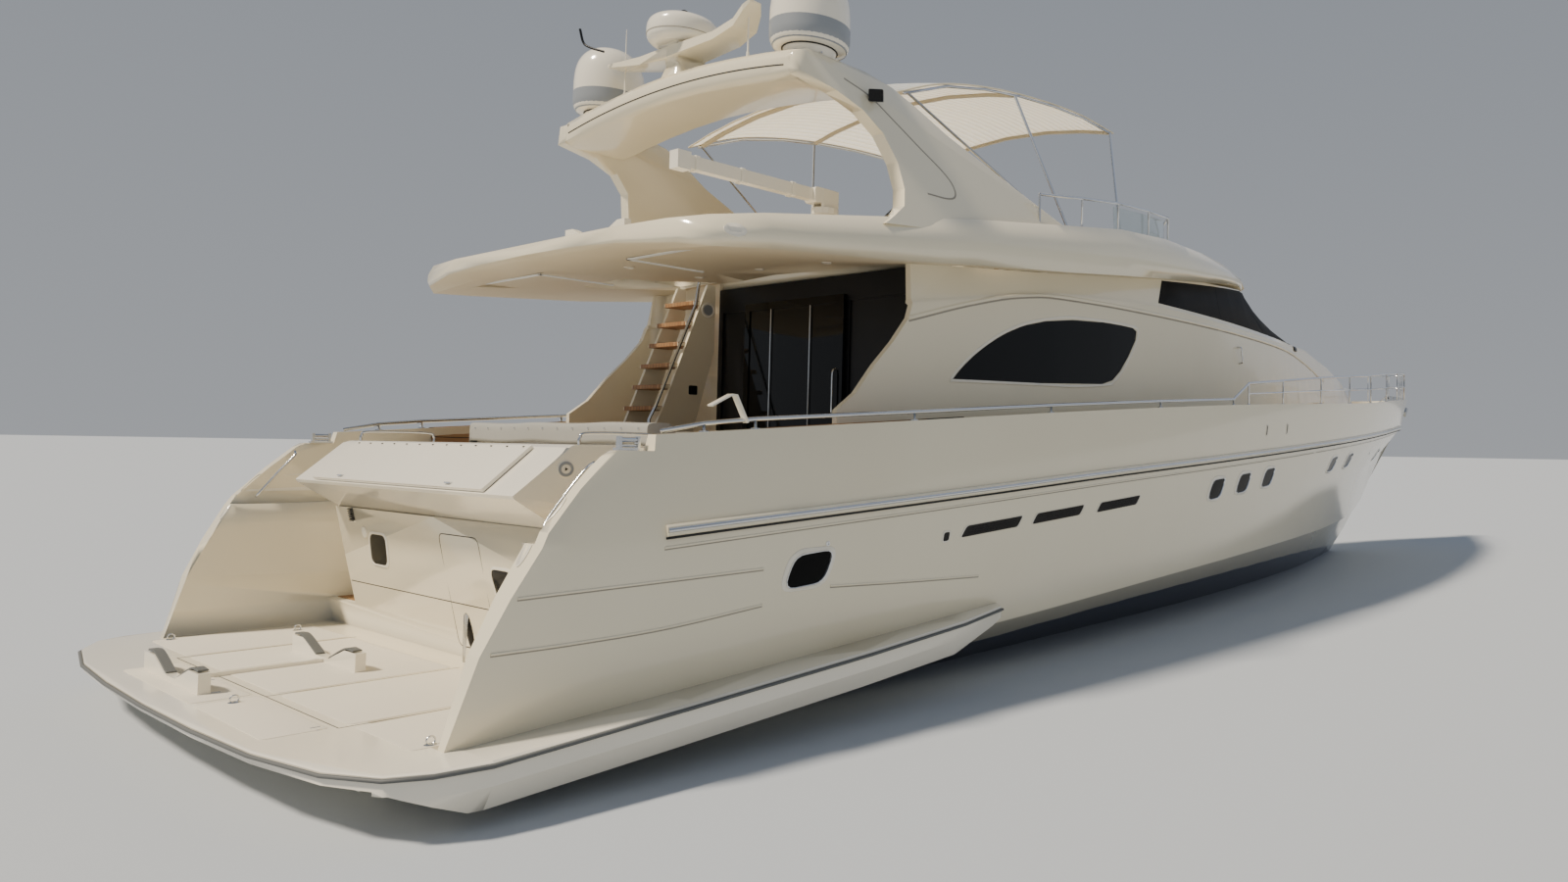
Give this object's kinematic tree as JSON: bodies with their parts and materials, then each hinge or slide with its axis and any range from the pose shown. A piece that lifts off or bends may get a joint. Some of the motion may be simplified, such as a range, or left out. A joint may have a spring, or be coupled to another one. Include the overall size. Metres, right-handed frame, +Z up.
{
  "type": "motor yacht",
  "caption": "Flybridge motor yacht with a raked bow, swim platform, covered cockpit, long deckhouse, radar arch, satellite domes and a canvas bimini, afloat with its whole hull.",
  "frame": {"origin": "amidships on the centreline, at the waterline", "axes": "+X toward the bow, +Y to port, +Z up"},
  "size_m": [24.8814, 6.4227, 7.7325],
  "materials": {
    "gelcoat": "gloss, warm off-white",
    "white_gelcoat": "gloss white",
    "stainless": "polished stainless steel",
    "dark_glass": "tinted glass",
    "clear_acrylic": "clear acrylic",
    "black_frame": "black satin frame with dark glass",
    "teak": "oiled teak",
    "upholstery": "tan hide",
    "grey_cover": "pale grey vinyl",
    "canvas": "beige canvas",
    "bronze": "manganese bronze",
    "rubber": "black rubber",
    "engine_block": "painted iron"
  },
  "bodies": {
    "yacht": {"hull": "gelcoat", "rub_rail": "stainless", "swim_platform": "white_gelcoat", "platform_strip": "rubber", "tender_cradle": "white_gelcoat", "flybridge_moulding": "gelcoat", "deckhouse": "gelcoat", "saloon_window_starboard": "dark_glass", "saloon_window_port": "dark_glass", "windscreen": "dark_glass", "saloon_sole": "teak", "engine_starboard": "engine_block", "engine_port": "engine_block", "saloon_end_frame": "black_frame", "saloon_sofa": "upholstery", "wheelhouse_dash": "upholstery", "transom_unit": "white_gelcoat", "cockpit_settee": "grey_cover", "cockpit_table": "teak", "fairlead_starboard": "stainless", "fairlead_port": "stainless", "flybridge_stair": "gelcoat", "stair_handrail": "stainless", "radar_arch": "gelcoat", "satellite_dome_starboard": "white_gelcoat", "satellite_dome_port": "white_gelcoat", "mast_wing": "gelcoat", "radome": "white_gelcoat", "flybridge_rail": "stainless", "flybridge_windscreen": "clear_acrylic", "flybridge_settee": "upholstery", "flybridge_table": "teak", "helm_console": "gelcoat", "helm_seats": "upholstery", "bimini_canopy": "canvas", "bimini_frame": "stainless", "crane_column": "white_gelcoat", "boat_deck_cradle": "white_gelcoat", "bulwark_rail": "stainless", "foredeck_sunpad": "canvas", "windlass": "stainless", "bow_roller_anchor": "stainless", "shaft_starboard": "stainless", "shaft_port": "stainless"},
    "propeller_starboard": {"propeller_starboard": "bronze"},
    "propeller_port": {"propeller_port": "bronze"},
    "rudder_starboard": {"rudder_starboard": "bronze"},
    "rudder_port": {"rudder_port": "bronze"},
    "trim_tab_starboard": {"trim_tab_starboard": "stainless"},
    "trim_tab_port": {"trim_tab_port": "stainless"},
    "saloon_door": {"saloon_door": "black_frame"},
    "locker_lid": {"locker_lid": "white_gelcoat"},
    "transom_gate_starboard": {"transom_gate_starboard": "stainless"},
    "transom_gate_port": {"transom_gate_port": "stainless"},
    "foredeck_hatch": {"foredeck_hatch": "white_gelcoat"},
    "crane_slew": {"crane_slew": "white_gelcoat"},
    "crane_boom": {"crane_boom": "white_gelcoat"},
    "helm_wheel": {"helm_wheel": "rubber"}
  },
  "joints": [
    {"name": "propeller_port_spin", "type": "hinge", "parent": "yacht", "child": "propeller_port", "pos_m": [-10.24, 1, -0.83], "axis": [0.991, 0, 0.1337], "continuous": true},
    {"name": "propeller_starboard_spin", "type": "hinge", "parent": "yacht", "child": "propeller_starboard", "pos_m": [-10.24, -1, -0.83], "axis": [0.991, 0, 0.1337], "continuous": true},
    {"name": "rudder_port_turn", "type": "hinge", "parent": "yacht", "child": "rudder_port", "pos_m": [-11.02, 1, -0.6], "axis": [0, 0, 1], "range_deg": [-35, 35]},
    {"name": "rudder_starboard_turn", "type": "hinge", "parent": "yacht", "child": "rudder_starboard", "pos_m": [-11.02, -1, -0.6], "axis": [0, 0, 1], "range_deg": [-35, 35]},
    {"name": "trim_tab_port_tilt", "type": "hinge", "parent": "yacht", "child": "trim_tab_port", "pos_m": [-11.5095, 1.45, -0.1749], "axis": [0, -0.9369, -0.3496], "range_deg": [0, 15]},
    {"name": "trim_tab_starboard_tilt", "type": "hinge", "parent": "yacht", "child": "trim_tab_starboard", "pos_m": [-11.5095, -1.45, -0.1749], "axis": [0, -0.9369, 0.3496], "range_deg": [0, 15]},
    {"name": "saloon_door_slide", "type": "slide", "parent": "yacht", "child": "saloon_door", "axis": [0, 1, 0], "range_m": [0, 1.4]},
    {"name": "locker_lid_open", "type": "hinge", "parent": "yacht", "child": "locker_lid", "pos_m": [-10.468, 0, 2.1341], "axis": [0, 1, 0], "range_deg": [0, 75]},
    {"name": "transom_gate_starboard_open", "type": "hinge", "parent": "yacht", "child": "transom_gate_starboard", "pos_m": [-9.584, -1.9995, 1.86], "axis": [0, 0, 1], "range_deg": [0, 85]},
    {"name": "transom_gate_port_open", "type": "hinge", "parent": "yacht", "child": "transom_gate_port", "pos_m": [-9.584, 1.9995, 1.86], "axis": [0, 0, -1], "range_deg": [0, 85]},
    {"name": "foredeck_hatch_open", "type": "hinge", "parent": "yacht", "child": "foredeck_hatch", "pos_m": [8.7951, 0, 3.0467], "axis": [0, -1, 0], "range_deg": [0, 80]},
    {"name": "crane_slew", "type": "hinge", "parent": "yacht", "child": "crane_slew", "pos_m": [-7.85, -1.5, 4.36], "axis": [0, 0, 1], "range_deg": [-90, 80]},
    {"name": "crane_luff", "type": "hinge", "parent": "crane_slew", "child": "crane_boom", "pos_m": [-7.85, -1.5, 4.495], "axis": [0, 1, 0], "range_deg": [0, 30]},
    {"name": "helm_wheel_spin", "type": "hinge", "parent": "yacht", "child": "helm_wheel", "pos_m": [-3.71, -0.45, 4.64], "axis": [1, 0, 0], "continuous": true}
  ],
  "couplings": [
    {"joint": "rudder_starboard_turn", "follows": "rudder_port_turn", "ratio": 1}
  ]
}
